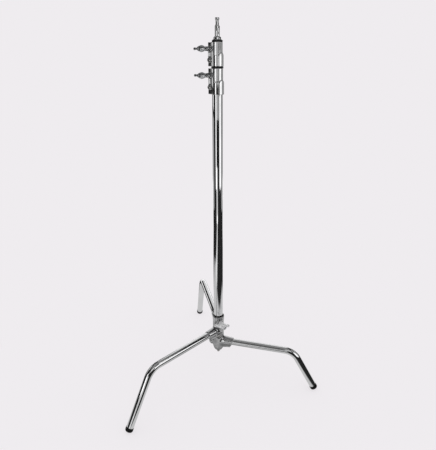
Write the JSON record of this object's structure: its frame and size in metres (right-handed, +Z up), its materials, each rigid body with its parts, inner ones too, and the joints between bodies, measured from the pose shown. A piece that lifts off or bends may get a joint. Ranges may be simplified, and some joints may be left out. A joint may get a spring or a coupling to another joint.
{
  "type": "c stand",
  "caption": "Chrome century stand: telescoping column with clamp collars and T-handles, standing in a turtle base with swinging, height-staggered bent legs.",
  "frame": {"origin": "middle of the footprint on the floor, under the opened legs", "axes": "+Z up along the column; the front of the stand faces -Y; the column stands behind and left of the origin"},
  "size_m": [0.7136, 0.7976, 1.34],
  "materials": {
    "chrome": "bright chrome plate over steel tube",
    "collar": "polished chrome plate over a machined casting",
    "casting": "duller chrome plate over a cast surface",
    "knob": "plated die casting, slightly dull",
    "zinc_casting": "pale satin zinc plate over a die casting",
    "hardware": "zinc-plated fasteners",
    "turned_steel": "turned and plated",
    "black_plastic": "moulded black plastic",
    "rubber": "matt moulded rubber",
    "brass": "turned brass"
  },
  "bodies": {
    "base": {"base_post": "turned_steel", "top_leg_casting": "casting", "top_leg_tube": "chrome", "top_leg_foot": "rubber", "top_leg_screw": "hardware", "base_spring": "turned_steel", "base_cap": "casting", "base_cap_bolt": "hardware", "base_clamp_shoe": "brass"},
    "base_handle": {"base_handle_knob": "zinc_casting", "base_handle_stud": "hardware"},
    "middle_leg": {"middle_leg_casting": "casting", "middle_leg_tube": "chrome", "middle_leg_foot": "rubber", "middle_leg_screw": "hardware", "leg_plunger": "hardware"},
    "bottom_leg": {"bottom_leg_casting": "casting", "bottom_leg_tube": "chrome", "bottom_leg_foot": "rubber", "bottom_leg_screw": "hardware"},
    "column": {"column_tube": "chrome", "column_spigot": "turned_steel", "lower_collar": "collar", "lower_collar_ring": "black_plastic", "lower_collar_bolt": "hardware", "lower_collar_nut": "hardware", "lower_clamp_nut": "hardware"},
    "lower_handle": {"lower_handle_knob": "knob", "lower_handle_stud": "hardware", "lower_handle_washer": "hardware"},
    "riser_1": {"riser_1_tube": "chrome", "riser_1_glide": "black_plastic", "upper_collar": "collar", "upper_collar_ring": "black_plastic", "upper_collar_bolt": "hardware", "upper_collar_nut": "hardware", "upper_clamp_nut": "hardware"},
    "upper_handle": {"upper_handle_knob": "knob", "upper_handle_stud": "hardware", "upper_handle_washer": "hardware"},
    "riser_2": {"riser_2_tube": "chrome", "riser_2_glide": "black_plastic", "riser_2_cap": "chrome", "baby_pin": "chrome"}
  },
  "joints": [
    {"name": "column_lift", "type": "slide", "parent": "base", "child": "column", "axis": [0, 0, 1], "range_m": [0, 0.1]},
    {"name": "riser_1_slide", "type": "slide", "parent": "column", "child": "riser_1", "axis": [0, 0, 1], "range_m": [0, 0.78]},
    {"name": "riser_2_slide", "type": "slide", "parent": "riser_1", "child": "riser_2", "axis": [0, 0, 1], "range_m": [0, 0.78]},
    {"name": "middle_leg_swing", "type": "hinge", "parent": "base", "child": "middle_leg", "pos_m": [-0.03044, -0.0669, 0.2], "axis": [0, 0, 1], "range_deg": [-117, 0]},
    {"name": "bottom_leg_swing", "type": "hinge", "parent": "base", "child": "bottom_leg", "pos_m": [-0.03044, -0.0669, 0.155], "axis": [0, 0, 1], "range_deg": [0, 112]},
    {"name": "base_handle_turn", "type": "hinge", "parent": "base", "child": "base_handle", "pos_m": [-0.03044, -0.0669, 0.2545], "axis": [0.2588, -0.9659, 0], "range_deg": [0, 270]},
    {"name": "lower_handle_turn", "type": "hinge", "parent": "column", "child": "lower_handle", "pos_m": [-0.05092, -0.0478, 1.1695], "axis": [-0.682, -0.7314, 0], "range_deg": [0, 270]},
    {"name": "upper_handle_turn", "type": "hinge", "parent": "riser_1", "child": "upper_handle", "pos_m": [-0.05092, -0.0478, 1.2498], "axis": [-0.682, -0.7314, 0], "range_deg": [0, 270]}
  ]
}
